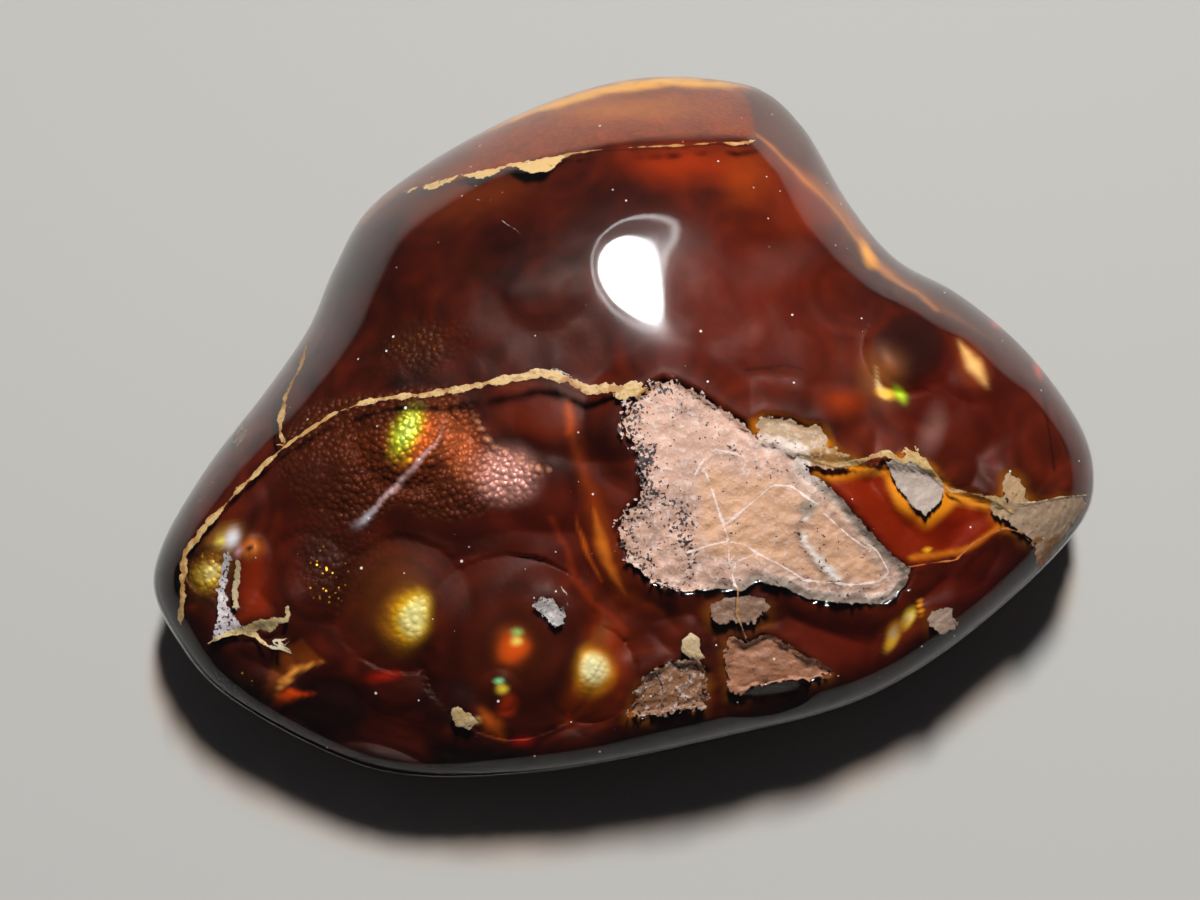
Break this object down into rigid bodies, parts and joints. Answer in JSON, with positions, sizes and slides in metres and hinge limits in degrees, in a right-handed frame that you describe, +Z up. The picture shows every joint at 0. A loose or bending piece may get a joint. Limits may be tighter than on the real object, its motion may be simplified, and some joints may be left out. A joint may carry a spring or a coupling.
{
  "type": "rough fire agate",
  "caption": "Hand-rubbed fire agate pebble of rounded triangular plan, with a bevelled back, domed polished crown, recessed rhyolite patches and a flat resting face.",
  "frame": {"origin": "middle of the plan's bounding box, on the table under the flat resting face", "axes": "+X along the stone's longest side, +Y towards the bevelled back, +Z up from the table"},
  "size_m": [0.0466, 0.0396, 0.017],
  "materials": {
    "chalcedony": "polished"
  },
  "bodies": {
    "root": {"fire_agate": "chalcedony"}
  },
  "joints": []
}
